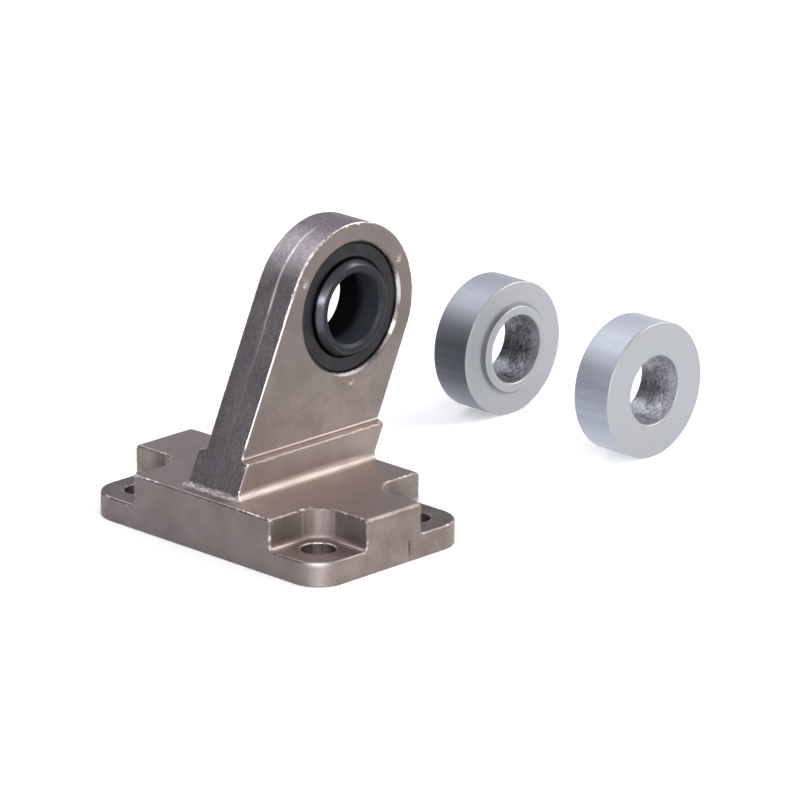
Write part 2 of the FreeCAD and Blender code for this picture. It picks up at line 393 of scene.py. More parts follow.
bracket_bm = merged_copy("foot_bracket")
cut_in_cells(bracket_bm, "foot_bracket", cell)
scar_cuts = (scar_x - 0.25, scar_x, scar_x + 0.25)
for axis, cuts in ((1, rim_cuts), (0, flash_cuts_x + scar_cuts), (2, flash_cuts_z)):
    for place in cuts:
        cut_at(bracket_bm, axis, place * MM)
split_flash(bracket_bm)
draft_mesh = finish_bm(bracket_bm.copy(), "draft")
split_edges(bracket_bm, draft_mesh, edge_cell)
bpy.data.meshes.remove(draft_mesh)
bracket_mesh = finish_bm(bracket_bm, "bracket_casting")
round_walls(bracket_mesh)
cast_shape(bracket_mesh)
bracket_mesh.set_sharp_from_angle(angle=sharp_angle)
bracket = bpy.data.objects.new("bracket_casting", bracket_mesh)
bpy.context.scene.collection.objects.link(bracket)


def colour(red, green, blue):
    """A linear colour from the 0 to 255 values that a screen shows."""
    levels = [v / 255 for v in (red, green, blue)]
    return tuple(v / 12.92 if v <= 0.04045 else ((v + 0.055) / 1.055) ** 2.4 for v in levels) + (1.0,)


def fill(tree, node, inputs):
    """Sets a node's inputs from numbers, colours or other nodes' sockets."""
    for name, value in inputs.items():
        if isinstance(value, bpy.types.NodeSocket):
            tree.links.new(value, node.inputs[name])
        else:
            node.inputs[name].default_value = value
    return node


def add(tree, kind, inputs=None, **settings):
    made = tree.nodes.new(kind)
    for name, value in settings.items():
        setattr(made, name, value)
    return fill(tree, made, inputs or {})


def maths(tree, operation, first, second=0.0, clamp=False):
    return add(tree, "ShaderNodeMath", {0: first, 1: second}, operation=operation, use_clamp=clamp).outputs[0]


def times(tree, first, second):
    return maths(tree, "MULTIPLY", first, second)


def vector(tree, operation, first, second, what="Vector"):
    return add(tree, "ShaderNodeVectorMath", {0: first, 1: second}, operation=operation).outputs[what]


def scaled(tree, direction, scale):
    return add(tree, "ShaderNodeVectorMath", {0: direction, "Scale": scale}, operation="SCALE").outputs[0]


def part_of(tree, spot, axis):
    return add(tree, "ShaderNodeSeparateXYZ", {0: spot}).outputs[axis]


def together(tree, **parts):
    return add(tree, "ShaderNodeCombineXYZ", parts).outputs[0]


def across_axis(tree, spot):
    """X and Z alone: the way out from the axis of the pin, or of a ring."""
    return together(tree, X=part_of(tree, spot, "X"), Z=part_of(tree, spot, "Z"))


def length_of(tree, spot):
    return add(tree, "ShaderNodeVectorMath", {0: spot}, operation="LENGTH").outputs["Value"]


def unit_of(tree, spot):
    return add(tree, "ShaderNodeVectorMath", {0: spot}, operation="NORMALIZE").outputs[0]


def centred(tree, spot, centre):
    """Object coordinates measured from a part's own axis."""
    shift = [-c * MM for c in centre]
    return add(tree, "ShaderNodeMapping", {"Vector": spot, "Location": shift}).outputs[0]


def noise_at(tree, spot, scale, detail, roughness):
    inputs = {"Vector": spot, "Scale": scale, "Detail": detail, "Roughness": roughness}
    return add(tree, "ShaderNodeTexNoise", inputs).outputs[0]


def mark(tree, name):
    return add(tree, "ShaderNodeAttribute", attribute_name=name).outputs["Fac"]


def blend(tree, share, first, second):
    """A colour between two others."""
    return add(tree, "ShaderNodeMix", {0: share, 6: first, 7: second}, data_type="RGBA").outputs[2]


def layered(tree, base, layers):
    """A base colour with others laid over it in order, each by its share."""
    for share, tone in layers:
        base = blend(tree, share, base, colour(*tone))
    return base


def smooth_step(tree, value, low, high, to_low=0.0, to_high=1.0):
    settings = {"Value": value, "From Min": low, "From Max": high, "To Min": to_low, "To Max": to_high}
    return add(tree, "ShaderNodeMapRange", settings, interpolation_type="SMOOTHSTEP").outputs["Result"]


def bumped(tree, strength, distance, height):
    inputs = {"Strength": strength, "Distance": distance * MM, "Height": height}
    return add(tree, "ShaderNodeBump", inputs).outputs["Normal"]


def new_group(name, inputs, outputs):
    """An empty node group with named sockets, and its two end nodes."""
    tree = bpy.data.node_groups.new(name, "ShaderNodeTree")
    for label, kind, value in inputs:
        socket = tree.interface.new_socket(label, in_out="INPUT", socket_type="NodeSocket" + kind)
        if kind == "Float":
            socket.default_value = value
    for label, kind in outputs:
        tree.interface.new_socket(label, in_out="OUTPUT", socket_type="NodeSocket" + kind)
    return tree, tree.nodes.new("NodeGroupInput"), tree.nodes.new("NodeGroupOutput")


def use(tree, group, inputs):
    """The outputs of a group, placed in a material with its own values."""
    return fill(tree, add(tree, "ShaderNodeGroup", node_tree=group), inputs).outputs


def new_material(name):
    material = bpy.data.materials.new(name)
    material.use_nodes = True
    tree = material.node_tree
    return material, tree, tree.nodes["Principled BSDF"], tree.nodes.new("ShaderNodeTexCoord").outputs["Object"]


def blasted_skin():
    """Skin of a blasted casting: fine pits, bright grains, and soft clouds a few millimetres wide."""
    tree, start, end = new_group(
        "blasted_skin",
        [("Vector", "Vector", 0), ("Grain Size", "Float", 0.3 * MM), ("Cloud Size", "Float", 5 * MM)],
        [("Height", "Float"), ("Cloud", "Float"), ("Grain", "Float")],
    )
    spot = start.outputs["Vector"]
    fine = maths(tree, "DIVIDE", 1.0, start.outputs["Grain Size"])
    wide = maths(tree, "DIVIDE", 1.0, start.outputs["Cloud Size"])
    grain = noise_at(tree, spot, fine, 3.0, 0.62)
    pits = add(tree, "ShaderNodeTexVoronoi", {"Vector": spot, "Scale": times(tree, fine, 0.55)})
    cloud = noise_at(tree, spot, wide, 4.0, 0.6)
    pit = smooth_step(tree, pits.outputs["Distance"], 0.0, 0.35)
    fill(tree, end, {
        "Height": maths(tree, "ADD", times(tree, grain, 0.7), times(tree, pit, 0.3)),
        "Cloud": smooth_step(tree, cloud, 0.3, 0.7),
        "Grain": smooth_step(tree, grain, 0.35, 0.7),
    })
    return tree


def rubbed_edge():
    """Where handling has rubbed an edge bright, broken up by a little noise."""
    tree, start, end = new_group(
        "rubbed_edge",
        [("Vector", "Vector", 0), ("Edge", "Float", 0.0), ("Break Size", "Float", 0.8 * MM), ("Least", "Float", 0.35)],
        [("Rubbed", "Float")],
    )
    scale = maths(tree, "DIVIDE", 1.0, start.outputs["Break Size"])
    broken = noise_at(tree, start.outputs["Vector"], scale, 3.0, 0.65)
    offset = times(tree, maths(tree, "SUBTRACT", broken, 0.5), 1.7)
    value = maths(tree, "SUBTRACT", maths(tree, "ADD", start.outputs["Edge"], offset), start.outputs["Least"])
    fill(tree, end, {"Rubbed": smooth_step(tree, value, 0.0, 0.4)})
    return tree


skin_group = blasted_skin()
rub_group = rubbed_edge()


def skin_at(tree, spot, grain_size, cloud_size):
    return use(tree, skin_group, {"Vector": spot, "Grain Size": grain_size * MM, "Cloud Size": cloud_size * MM})


def cast_steel_skin():
    """Blasted steel: clouds and grains, then the tones of the marked places with their painted light and shade, then
    what is rubbed bright.
    """
    material, tree, shader, spot = new_material("cast_steel_skin")
    skin = skin_at(tree, spot, 0.32, 5.5)
    coarse = skin_at(tree, spot, 0.5, 2.2)
    edge = {"Vector": spot, "Edge": mark(tree, "edge"), "Break Size": 0.9 * MM, "Least": 0.7}
    rub = use(tree, rub_group, edge)["Rubbed"]
    rim, flash = mark(tree, "rim"), mark(tree, "flash")
    streak = noise_at(tree, vector(tree, "MULTIPLY", spot, (2.6, 2.6, 0.35)), 1000.0, 2.0, 0.6)
    broad = noise_at(tree, spot, 90.0, 3.0, 0.6)
    grit = noise_at(tree, spot, 3400.0, 2.0, 0.7)
    broken = noise_at(tree, spot, 1300.0, 2.0, 0.6)

    # Scratches on the rim, long up the arm and thin along the pin's axis
    run = vector(tree, "DOT_PRODUCT", spot, (math.cos(arm_lean), 0, math.sin(arm_lean)), "Value")
    drawn = together(tree, X=times(tree, run, 350.0), Y=times(tree, part_of(tree, spot, "Y"), 3200.0))
    scratch = times(tree, smooth_step(tree, noise_at(tree, drawn, 1.0, 3.0, 0.65), 0.5, 0.72), rim)

    painted_shine = maths(tree, "MULTIPLY", mark(tree, "painted_shine"), maths(tree, "ADD", coarse["Grain"], 0.35), clamp=True)
    line = smooth_step(tree, mark(tree, "rubbed_and_painted_line"), 0.3, 0.8)
    base = blend(tree, times(tree, skin["Cloud"], 0.9), colour(140, 129, 125), colour(122, 111, 106))
    base = layered(tree, base, [
        (smooth_step(tree, broad, 0.42, 0.66, 0.0, 0.35), (116, 106, 99)),
        (smooth_step(tree, streak, 0.45, 0.8, 0.0, 0.35), (122, 111, 107)),
        (times(tree, skin["Grain"], 0.26), (172, 160, 158)),
    ])
    base = blend(tree, rim, base, blend(tree, coarse["Grain"], colour(136, 129, 131), colour(157, 149, 151)))
    # Painted shade on the long sides, upper arm and ear; painted light on the tops and arm roots; painted highlights
    # on the pocket corners, coves, crown, parting line and ear corner.
    base = layered(tree, base, [
        (times(tree, mark(tree, "long_side_painted_shade"), 0.55), (114, 107, 109)),
        (times(tree, mark(tree, "top_painted_light"), 0.5), (182, 166, 161)),
        (times(tree, mark(tree, "upper_arm_painted_shade"), 0.66), (114, 105, 102)),
        (times(tree, mark(tree, "ear"), 0.15), (96, 87, 85)),
        (times(tree, mark(tree, "arm_root_painted_light"), 0.3), (172, 159, 156)),
        (times(tree, mark(tree, "corner"), 0.36), (200, 187, 186)),
        (times(tree, scratch, 0.5), (186, 178, 181)),
        (times(tree, mark(tree, "cove_painted_highlight"), 0.4), (196, 182, 178)),
        (times(tree, painted_shine, 0.1), (206, 193, 195)),
        # Painted highlight along the parting line, over metal rubbed bright.
        (times(tree, mark(tree, "ridge"), smooth_step(tree, streak, 0.3, 0.5, 0.55, 1.0)), (250, 243, 242)),
        (times(tree, flash, 0.45), (168, 155, 156)),
        (times(tree, smooth_step(tree, grit, 0.52, 0.66), flash), (212, 201, 201)),
        (times(tree, smooth_step(tree, grit, 0.47, 0.36), flash), (100, 90, 92)),
        (mark(tree, "ear_corner_painted_highlight"), (222, 212, 213)),
        (times(tree, rub, 0.8), (226, 217, 216)),
        # The front left edge's line: rubbed metal with a painted highlight.
        (times(tree, line, smooth_step(tree, broken, 0.35, 0.55, 0.2, 1.0)), (228, 219, 219)),
        (times(tree, mark(tree, "scar"), 0.85), (52, 38, 34)),
    ])
    gloss = maths(tree, "ADD", times(tree, skin["Cloud"], 0.06), 0.43)
    gloss = maths(tree, "ADD", gloss, times(tree, mark(tree, "corner_zone"), 0.22))
    height = maths(tree, "ADD", times(tree, skin["Height"], 0.6), times(tree, times(tree, coarse["Height"], rim), 1.6))
    fill(tree, shader, {
        "Base Color": base,
        "Metallic": 1.0,
        "Roughness": maths(tree, "ADD", gloss, times(tree, rub, -0.14), clamp=True),
        "Normal": bumped(tree, 0.6, 0.035, height),
    })
    return material


def drilled_steel():
    material, tree, shader, spot = new_material("drilled_steel")
    streak = noise_at(tree, vector(tree, "MULTIPLY", spot, (0.8, 0.8, 0.15)), 1000.0, 3.0, 0.65)
    fill(tree, shader, {
        "Base Color": blend(tree, smooth_step(tree, streak, 0.38, 0.62), colour(126, 114, 112), colour(156, 144, 143)),
        "Metallic": 1.0,
        "Roughness": 0.42,
        "Normal": bumped(tree, 0.4, 0.02, skin_at(tree, spot, 0.4, 2.5)["Height"]),
    })
    return material


def bored_steel():
    """The seat's bore and chamfer, with three painted places: two painted highlights and an even mid-grey patch, each
    as direction and half width in degrees, and tone.
    """
    material, tree, shader, spot = new_material("bored_steel")
    base = blend(tree, skin_at(tree, spot, 0.5, 3.0)["Cloud"], colour(108, 102, 102), colour(134, 127, 127))
    outward = unit_of(tree, across_axis(tree, centred(tree, spot, pin_centre)))
    # Painted highlights at the right, a little below and a little above the middle; an even mid-grey patch at the
    # bottom.
    for degrees, half, tone in ((-29, 8, 205), (6, 17, 200), (-80, 15, 122)):
        towards = (math.cos(math.radians(degrees)), 0, math.sin(math.radians(degrees)))
        near = vector(tree, "DOT_PRODUCT", outward, towards, "Value")
        share = smooth_step(tree, near, math.cos(math.radians(half)), 1.0)
        base = blend(tree, share, base, colour(tone, tone - 4, tone - 3))
    fill(tree, shader, {"Base Color": base, "Metallic": 1.0, "Roughness": 0.37})
    return material


def give(mesh, material, test):
    """Puts a further material on the faces that pass a test of middle and normal, both in rows."""
    count = len(mesh.polygons)
    middles, normals, index = np.zeros(count * 3), np.zeros(count * 3), np.zeros(count, int)
    mesh.polygons.foreach_get("center", middles)
    mesh.polygons.foreach_get("normal", normals)
    mesh.polygons.foreach_get("material_index", index)
    mesh.materials.append(material)
    index[test(middles.reshape(-1, 3) / MM, normals.reshape(-1, 3))] = len(mesh.materials) - 1
    mesh.polygons.foreach_set("material_index", index)


def from_pin(p):
    return np.hypot(p[:, 0] - pin_x, p[:, 2] - pin_z)


def in_screw_hole(p, n):
    near = [np.hypot(p[:, 0] - x, p[:, 1] - y) < screw_mouth for x, y in screw_places]
    return np.any(near, 0) & (np.abs(n[:, 2]) < 0.5) & (p[:, 2] < ear_top)


bracket_mesh.materials.append(cast_steel_skin())
give(bracket_mesh, drilled_steel(), in_screw_hole)
give(bracket_mesh, bored_steel(), lambda p, n: (from_pin(p) < seat_mouth) & (np.abs(n[:, 1]) < 0.9))

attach(bracket, "foot")
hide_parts("foot_bracket")


# Bearing outer ring
# Hardened steel ring with a hollow spherical race, blackened, pressed in flush with the eye's middle
# and held there by the punch marks. The narrow chamfers at its edges are near black: oil, and painted shade.

ring_half_width = 3.5
ring_chamfer, ring_rounding = 0.35, 0.05
race_radius = 9.0
race_chamfer_wide, race_chamfer_deep = 0.3, 0.28
bearing_steps, bearing_corner_steps = 240, 3


def turned_part_tree():
    """Geometry nodes that turn a closed section round its axis, as a lathe does, and round its corners."""
    tree = bpy.data.node_groups.new("turned_part", "GeometryNodeTree")
    for label, kind in (
        ("Section", "Geometry"), ("Centre", "Vector"), ("Mean Radius", "Float"),
        ("Steps", "Int"), ("Corner Steps", "Int"), ("Finish", "Material"),
    ):
        tree.interface.new_socket(label, in_out="INPUT", socket_type="NodeSocket" + kind)
    tree.interface.new_socket("Part", in_out="OUTPUT", socket_type="NodeSocketGeometry")
    start, end = tree.nodes.new("NodeGroupInput").outputs, tree.nodes.new("NodeGroupOutput")
    corner = add(tree, "GeometryNodeInputNamedAttribute", {"Name": "rounding"}, data_type="FLOAT").outputs["Attribute"]
    line = add(tree, "GeometryNodeMeshToCurve", {"Mesh": start["Section"]}).outputs[0]
    rounding = {"Curve": line, "Radius": corner, "Count": start["Corner Steps"]}
    rounded = add(tree, "GeometryNodeFilletCurve", rounding, mode="POLY").outputs[0]
    inward = together(tree, X=times(tree, start["Mean Radius"], -1.0))
    section = add(tree, "GeometryNodeTransform", {"Geometry": rounded, "Translation": inward}).outputs[0]
    circle = {"Resolution": start["Steps"], "Radius": start["Mean Radius"]}
    path = add(tree, "GeometryNodeCurvePrimitiveCircle", circle).outputs[0]
    level = add(tree, "GeometryNodeSetCurveNormal", {"Curve": path}, mode="Z_UP").outputs[0]
    skin = add(tree, "GeometryNodeCurveToMesh", {"Curve": level, "Profile Curve": section}).outputs[0]
    upright = {"Geometry": skin, "Rotation": (math.pi / 2, 0, 0), "Translation": start["Centre"]}
    placed = add(tree, "GeometryNodeTransform", upright).outputs[0]
    real = add(tree, "GeometryNodeRealizeInstances", {0: placed}).outputs[0]
    dressed = add(tree, "GeometryNodeSetMaterial", {"Geometry": real, "Material": start["Finish"]})
    fill(tree, end, {0: dressed.outputs[0]})
    return tree


turning = turned_part_tree()


def turn(name, section, centre, steps, corner_steps, material):
    """A ring from its section: corners as radius, place along the axis and rounding, all in millimetres."""
    mesh = bpy.data.meshes.new(name + "_section")
    count = len(section)
    mesh.from_pydata([(r * MM, a * MM, 0) for r, a, _ in section], [(k, (k + 1) % count) for k in range(count)], [])
    store(mesh, "rounding", [c * MM for _, _, c in section])
    blank = bpy.data.objects.new(name + "_section", mesh)
    bpy.context.scene.collection.objects.link(blank)
    modifier = blank.modifiers.new("turn", "NODES")
    modifier.node_group = turning
    sockets = {s.name: s.identifier for s in turning.interface.items_tree if s.in_out == "INPUT"}
    modifier[sockets["Centre"]] = [c * MM for c in centre]
    modifier[sockets["Mean Radius"]] = sum(r for r, _, _ in section) / count * MM
    modifier[sockets["Steps"]] = steps
    modifier[sockets["Corner Steps"]] = corner_steps
    modifier[sockets["Finish"]] = material
    shaped = bpy.data.meshes.new_from_object(blank.evaluated_get(bpy.context.evaluated_depsgraph_get()))
    shaped.name = name
    bpy.data.objects.remove(blank)
    shaped.polygons.foreach_set("use_smooth", [True] * len(shaped.polygons))
    shaped.set_sharp_from_angle(angle=sharp_angle)
    part = bpy.data.objects.new(name, shaped)
    bpy.context.scene.collection.objects.link(part)
    return part


def arc(radius, from_along, to_along, steps):
    """Corners along a sphere's outline, without rounding."""
    rows = [from_along + (to_along - from_along) * k / steps for k in range(steps + 1)]
    return [(math.sqrt(radius * radius - a * a), a, 0.0) for a in rows]


def turning_marks():
    """Fine rings that a turning tool leaves, and streaks along the axis that a bar is drawn with."""
    tree, start, end = new_group(
        "turning_marks",
        [("Vector", "Vector", 0), ("Pitch", "Float", 0.3 * MM), ("Streak Size", "Float", 0.8 * MM)],
        [("Rings", "Float"), ("Streaks", "Float")],
    )
    own = start.outputs["Vector"]
    out = across_axis(tree, own)
    outward = unit_of(tree, out)
    turns = maths(tree, "DIVIDE", length_of(tree, out), start.outputs["Pitch"])
    ring_spot = vector(tree, "ADD", together(tree, Y=turns), scaled(tree, outward, 0.35))
    wide = scaled(tree, outward, maths(tree, "DIVIDE", 0.011, start.outputs["Streak Size"]))
    slow = together(tree, Y=times(tree, part_of(tree, own, "Y"), 60.0))
    fill(tree, end, {
        "Rings": noise_at(tree, ring_spot, 1.0, 2.0, 0.6),
        "Streaks": noise_at(tree, vector(tree, "ADD", wide, slow), 1.0, 3.0, 0.6),
    })
    return tree


marks_group = turning_marks()


def marks_at(tree, own, pitch, streak_size):
    return use(tree, marks_group, {"Vector": own, "Pitch": pitch * MM, "Streak Size": streak_size * MM})


def blackened_steel():
    material, tree, shader, spot = new_material("blackened_steel")
    skin = skin_at(tree, spot, 0.25, 3.0)
    rings = marks_at(tree, centred(tree, spot, pin_centre), 0.22, 1.2)["Rings"]
    base = blend(tree, skin["Cloud"], colour(49, 47, 50), colour(40, 38, 41))
    base = blend(tree, smooth_step(tree, rings, 0.5, 0.75, 0.0, 0.3), base, colour(70, 70, 75))
    normal = bumped(tree, 0.25, 0.01, maths(tree, "ADD", times(tree, skin["Height"], 0.4), rings))
    fill(tree, shader, {"Base Color": base, "Metallic": 0.85, "Roughness": 0.36, "Normal": normal})
    return material


def ball_steel():
    """Blackened as the ring is, with a painted sheen, lighter and bluer, near the sphere, and a dark edge at the seam:
    oil and painted shade.
    """
    material, tree, shader, spot = new_material("ball_steel")
    own = centred(tree, spot, pin_centre)
    rings = marks_at(tree, own, 0.3, 1.0)["Rings"]
    reach = length_of(tree, across_axis(tree, own))
    base = blend(tree, skin_at(tree, spot, 0.25, 2.5)["Cloud"], colour(48, 48, 52), colour(40, 40, 43))
    base = layered(tree, base, [
        (smooth_step(tree, rings, 0.5, 0.75, 0.0, 0.3), (76, 77, 84)),
        # Painted sheen near the sphere, then the seam's dark edge: oil and painted shade.
        (smooth_step(tree, reach, 7.2 * MM, 7.7 * MM, 0.0, 0.7), (98, 99, 108)),
        (smooth_step(tree, reach, 8.05 * MM, 8.15 * MM), (9, 9, 10)),
    ])
    normal = bumped(tree, 0.2, 0.008, rings)
    fill(tree, shader, {"Base Color": base, "Metallic": 0.9, "Roughness": 0.29, "Normal": normal})
    return material


# Near-black oil with painted shade, for the ring's chamfers.
def oil_and_painted_shade():
    material, tree, shader, spot = new_material("oil_and_painted_shade_in_the_gap")
    base = blend(tree, skin_at(tree, spot, 0.3, 2.0)["Cloud"], colour(18, 17, 18), colour(28, 27, 28))
    fill(tree, shader, {"Base Color": base, "Metallic": 0.0, "Roughness": 0.5})
    return material


black_steel = blackened_steel()
chamfer_oil_and_shade = oil_and_painted_shade()
race_foot = ring_half_width - race_chamfer_deep
race_mouth = math.sqrt(race_radius**2 - ring_half_width**2) + race_chamfer_wide
ring_section = [
    (seat_radius - ring_chamfer, -ring_half_width, ring_rounding),
    (seat_radius, ring_chamfer - ring_half_width, ring_rounding),
    (seat_radius, ring_half_width - ring_chamfer, ring_rounding),
    (seat_radius - ring_chamfer, ring_half_width, ring_rounding),
    (race_mouth, ring_half_width, ring_rounding),
    *arc(race_radius, race_foot, -race_foot, 28),
    (race_mouth, -ring_half_width, ring_rounding),
]
outer_ring = turn("outer_ring", ring_section, pin_centre, bearing_steps, bearing_corner_steps, black_steel)


def in_ring_chamfer(p, n):
    reach = from_pin(p)
    return (np.abs(n[:, 1]) < 0.85) & ((reach > seat_radius - ring_chamfer) | (reach < race_mouth))


give(outer_ring.data, chamfer_oil_and_shade, in_ring_chamfer)
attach(outer_ring, "foot")
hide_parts("bearing_outer_ring")


# Bearing ball
# Truncated steel ball with the pin's bore, free to tilt in the race. The bore and its chamfer are
# ground, and the bore is the darkest place on the part.

ball_radius = 8.96
ball_half_width = 5.0
bore_radius = 6.0
bore_chamfer = 0.5
land_radius = math.sqrt(ball_radius**2 - ball_half_width**2)

ball_section = [
    (bore_radius, ball_half_width - bore_chamfer, 0.1),
    (bore_radius, bore_chamfer - ball_half_width, 0.1),
    (bore_radius + bore_chamfer, -ball_half_width, 0.12),
    (land_radius - 0.02, -ball_half_width, 0.1),
    *arc(ball_radius, 0.05 - ball_half_width, ball_half_width - 0.05, 40),
    (land_radius - 0.02, ball_half_width, 0.1),
    (bore_radius + bore_chamfer, ball_half_width, 0.12),
]
ball = turn("ball", ball_section, pin_centre, bearing_steps, bearing_corner_steps, ball_steel())


def bore_steel():
    """The bore, with painted shade over its back half behind a wavy border."""
    material, tree, shader, spot = new_material("bore_of_the_ball")
    streaks = marks_at(tree, centred(tree, spot, pin_centre), 0.3, 1.0)["Streaks"]
    wavy = maths(tree, "ADD", part_of(tree, spot, "Y"), times(tree, streaks, 1.5 * MM))
    clean = blend(tree, streaks, colour(40, 42, 49), colour(52, 54, 62))
    # Painted shade over the bore's back half.
    base = blend(tree, smooth_step(tree, wavy, -1.0 * MM, 1.4 * MM), clean, colour(16, 15, 17))
    fill(tree, shader, {"Base Color": base, "Metallic": 0.0, "Roughness": 0.6, "Specular IOR Level": 0.0})
    return material


def rubbed_chamfer():
    """The bore's mouth, worn paler by the pin."""
    material, tree, shader, spot = new_material("worn_mouth_of_the_bore")
    base = blend(tree, skin_at(tree, spot, 0.3, 1.5)["Cloud"], colour(58, 59, 65), colour(48, 49, 54))
    fill(tree, shader, {"Base Color": base, "Metallic": 0.9, "Roughness": 0.46})
    return material


def in_bore_mouth(p, n):
    return (from_pin(p) < bore_radius + bore_chamfer) & (np.abs(p[:, 1]) > ball_half_width - bore_chamfer)


give(ball.data, bore_steel(), lambda p, n: from_pin(p) < bore_radius + 0.02)
give(ball.data, rubbed_chamfer(), in_bore_mouth)
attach(ball, "ball")
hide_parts("bearing_ball")


# Spacer rings
# Two equal rings parted off drawn aluminium bar: turned faces with fine rings, a rim with the bar's
# streaks, a low boss on one face and a drilled bore that was left rough and grainy. Light and shade
# are painted on them too: darker rims' lower halves, boss feet and bore depths, lighter bore mouths,
# a painted highlight low in each bore, and the back ring darker than the front.

spacer_radius, spacer_body, spacer_bore = 11.9, 7.8, 6.05
boss_radius, boss_height = 7.7, 0.8
stand_x, front_y, back_y = 72.0, -18.8, 13.3
spacer_steps, spacer_corner_steps = 288, 4
spacer_width = spacer_body + boss_height
spacer_section = [
    (spacer_bore, 0.0, 0.25), (spacer_radius, 0.0, 0.3), (spacer_radius, spacer_body, 0.3),
    (boss_radius, spacer_body, 0.08), (boss_radius, spacer_width, 0.22), (spacer_bore, spacer_width, 0.3),
]
face_tones = (169, 171, 176), (173, 175, 180)


def rim_painted_shade(tree, own, share, base, tone):
    """Painted shade on the rim's lower half, darker than the rest, most of all at the height of the axis."""
    level = part_of(tree, own, "Z")
    low = smooth_step(tree, level, 11 * MM, 1 * MM)
    foot = times(tree, low, smooth_step(tree, level, -11 * MM, -1 * MM, 0.4, 1.0))
    return blend(tree, foot, base, blend(tree, share, colour(*tone), colour(*[v + 10 for v in tone])))


def boss_foot_painted_shade(tree, own, base, step_at):
    """Painted shade in the corner round the boss, a little darker than the face."""
    reach = length_of(tree, across_axis(tree, own))
    off = maths(tree, "ABSOLUTE", maths(tree, "SUBTRACT", part_of(tree, own, "Y"), step_at * MM))
    foot = times(tree, smooth_step(tree, reach, 8.5 * MM, 7.9 * MM), smooth_step(tree, off, 0.7 * MM, 0.3 * MM))
    return blend(tree, times(tree, foot, 0.6), base, colour(122, 124, 130))


def aluminium(name, centre, tones, marks, roughness, bump_depth, rim_shade_tone=None, step_at=None):
    """Bare aluminium with one kind of tool marks, which have a dark and a light tone."""
    material, tree, shader, spot = new_material(name)
    own = centred(tree, spot, centre)
    pattern = marks_at(tree, own, 0.35, 0.9)[marks]
    skin = skin_at(tree, spot, 0.3, 4.0)
    share = smooth_step(tree, pattern, 0.3, 0.7)
    dark, light = tones
    base = blend(tree, share, colour(*dark), colour(*light))
    base = blend(tree, times(tree, skin["Cloud"], 0.2), base, colour(*dark))
    # Painted shade on the rim's lower half and in the corner round the boss.
    if rim_shade_tone:
        base = rim_painted_shade(tree, own, share, base, rim_shade_tone)
    if step_at:
        base = boss_foot_painted_shade(tree, own, base, step_at)
    normal = bumped(tree, 0.3, bump_depth, maths(tree, "ADD", pattern, times(tree, skin["Height"], 0.25)))
    fill(tree, shader, {"Base Color": base, "Metallic": 1.0, "Roughness": roughness, "Normal": normal})
    return material


def grainy_bore(name, centre, tones):
    """Rough drilled bore, with painted light at its front mouth, painted shade further in, and a painted highlight low
    down further in.
    """
    material, tree, shader, spot = new_material(name)
    own = centred(tree, spot, centre)
    depth, level = part_of(tree, own, "Y"), part_of(tree, own, "Z")
    skin = skin_at(tree, own, 0.5, 2.0)
    patch = times(tree, maths(tree, "ADD", skin["Grain"], skin["Cloud"]), 0.5)
    mouth = smooth_step(tree, depth, 3.2 * MM, 0.0, 0.0, 0.55)
    mouth = times(tree, mouth, smooth_step(tree, level, -5 * MM, -2 * MM, 0.65, 1.0))
    low_painted_highlight = times(tree, smooth_step(tree, level, -3.6 * MM, -5.2 * MM), smooth_step(tree, depth, 3.5 * MM, 7 * MM))
    deep = times(tree, smooth_step(tree, depth, 2.6 * MM, 5.2 * MM), smooth_step(tree, level, -5.3 * MM, -3.5 * MM))
    deep = times(tree, deep, smooth_step(tree, level, 3.2 * MM, -0.8 * MM, 0.1, 0.62))
    # Painted light at the front mouth, a painted highlight low down further in, and painted shade deep inside.
    base = layered(tree, blend(tree, patch, *[colour(v, v, v + 7) for v in tones]), [
        (mouth, (196, 196, 204)),
        (times(tree, low_painted_highlight, 0.4), (196, 196, 204)),
        (deep, (44, 45, 48)),
    ])
    normal = bumped(tree, 0.8, 0.045, skin["Height"])
    fill(tree, shader, {"Base Color": base, "Metallic": 1.0, "Roughness": 0.55, "Normal": normal})
    return material


def from_ring_axis(p):
    return np.hypot(p[:, 0] - stand_x, p[:, 2] - spacer_radius)


# The back ring's rim and bore tones are darker than the front ring's, and each rim's lower tone darker still: painted
# shade.
for side, near_y, boss_first, rim_tones, rim_shade_tone, bore_tones in (
    ("front", front_y, False, ((204, 207, 216), (213, 216, 224)), (160, 165, 176), (120, 222)),
    ("back", back_y, True, ((188, 191, 199), (196, 199, 207)), (84, 87, 93), (62, 176)),
):
    centre = (stand_x, near_y, spacer_radius)
    section, step_at = spacer_section, spacer_body
    if boss_first:
        section, step_at = [(r, spacer_width - a, c) for r, a, c in reversed(spacer_section)], boss_height
    face = aluminium(f"{side}_spacer_face", centre, face_tones, "Rings", 0.48, 0.0015, None, step_at)
    rim = aluminium(f"{side}_spacer_rim", centre, rim_tones, "Streaks", 0.6, 0.005, rim_shade_tone)
    bore = grainy_bore(f"{side}_spacer_bore", centre, bore_tones)
    spacer = turn(f"spacer_{side}", section, centre, spacer_steps, spacer_corner_steps, face)
    give(spacer.data, rim, lambda p, n: from_ring_axis(p) > spacer_radius - 0.01)
    give(spacer.data, bore, lambda p, n: from_ring_axis(p) < spacer_bore + 0.01)
    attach(spacer, "foot")
    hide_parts(f"spacer_ring_{side}")


# Studio
# A white sheet to stand on, a grey room with one dark side, and five soft lamps. The camera has a
# long lens and stands low, to the left of the arm's front face.

camera_heading = math.radians(-46.25)
camera_elevation = math.radians(18.095)
camera_roll = math.radians(0.696)
camera_distance = 1038.0
camera_aim_right, camera_aim_up = 20.329, 21.031
pixels_per_mm = 6.072
image_pixels = 800
sensor_mm = 36.0
lamp_aim = Vector((0.03, 0, 0.02))
floor_radius, floor_glow = 8, 0.34


